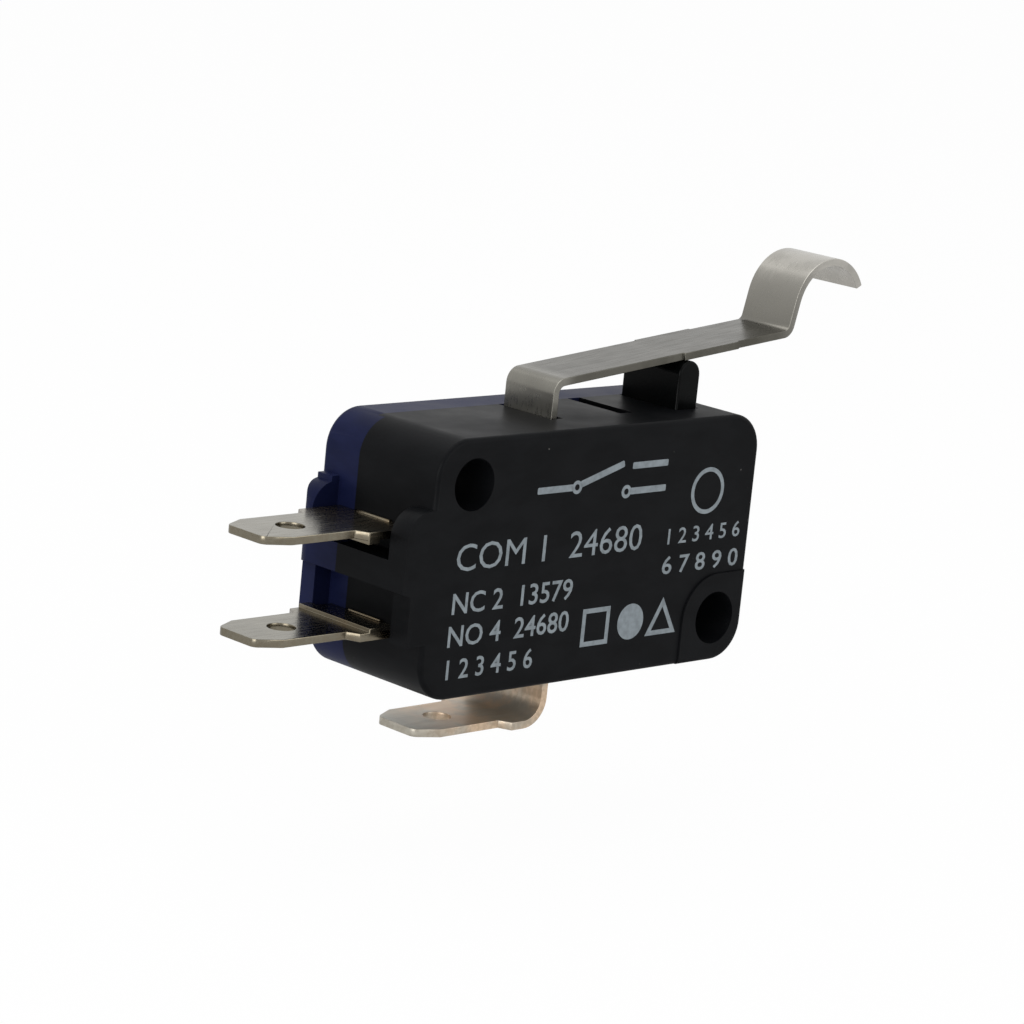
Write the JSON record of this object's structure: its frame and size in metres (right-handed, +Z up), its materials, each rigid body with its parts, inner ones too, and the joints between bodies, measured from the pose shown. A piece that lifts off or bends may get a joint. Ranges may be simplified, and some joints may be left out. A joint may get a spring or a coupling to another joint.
{
  "type": "lever micro switch",
  "caption": "Snap-action changeover switch in a flat moulded housing, worked by a long hinged lever with a rolled tip.",
  "frame": {"origin": "on the axis of the lower mounting hole, in the plane of the pad that surrounds it on the front face", "axes": "+X along the body towards the plunger end and the lever's tip, +Y into the depth towards the cover, +Z up towards the lever"},
  "size_m": [0.0496, 0.0103, 0.0283],
  "materials": {
    "case_plastic": "moulded thermoset, near black, satin",
    "cover_plastic": "moulded thermoset, dark blue, satin",
    "plunger_plastic": "moulded thermoplastic, black",
    "lever_steel": "rolled stainless strip with a fine grain",
    "terminal_tin": "bright tin over brass",
    "contact_silver": "silver alloy",
    "blade_copper": "copper alloy sheet",
    "spring_steel": "drawn spring wire"
  },
  "bodies": {
    "housing": {"case": "case_plastic", "cover": "cover_plastic", "nc_terminal": "terminal_tin", "no_terminal": "terminal_tin", "com_terminal": "terminal_tin", "nc_contact": "contact_silver", "no_contact": "contact_silver"},
    "lever_arm": {"lever": "lever_steel"},
    "button": {"plunger": "plunger_plastic"},
    "inner_arm": {"inner_lever": "blade_copper"},
    "blade": {"contact_blade": "blade_copper", "moving_contact": "contact_silver"},
    "spring": {"snap_spring": "spring_steel"}
  },
  "joints": [
    {"name": "lever_hinge", "type": "hinge", "parent": "housing", "child": "lever_arm", "pos_m": [-0.01315, 0.00515, 0.0113], "axis": [0, 1, 0], "range_deg": [0, 10], "stiffness_Nm_per_rad": 0.02, "springref_deg": -20.05},
    {"name": "plunger_slide", "type": "slide", "parent": "housing", "child": "button", "axis": [0, 0, -1], "range_m": [0, 0.002]},
    {"name": "inner_lever_hinge", "type": "hinge", "parent": "housing", "child": "inner_arm", "pos_m": [-0.0123, 0.00515, 0.0022], "axis": [0, 1, 0], "range_deg": [0, 8.5]},
    {"name": "blade_hinge", "type": "hinge", "parent": "housing", "child": "blade", "pos_m": [-0.01298, 0.00515, 0.00474], "axis": [0, -1, 0], "range_deg": [0, 5.9]},
    {"name": "spring_hinge", "type": "hinge", "parent": "blade", "child": "spring", "pos_m": [-0.01846, 0.00515, 0.00474], "axis": [0, 1, 0], "range_deg": [0, 7.5]}
  ],
  "couplings": [
    {"joint": "plunger_slide", "follows": "lever_hinge", "m_per_rad": 0.01148},
    {"joint": "inner_lever_hinge", "follows": "lever_hinge", "ratio": 0.847},
    {"joint": "blade_hinge", "follows": "lever_hinge", "ratio": 0.59},
    {"joint": "spring_hinge", "follows": "lever_hinge", "ratio": 0.7485}
  ]
}
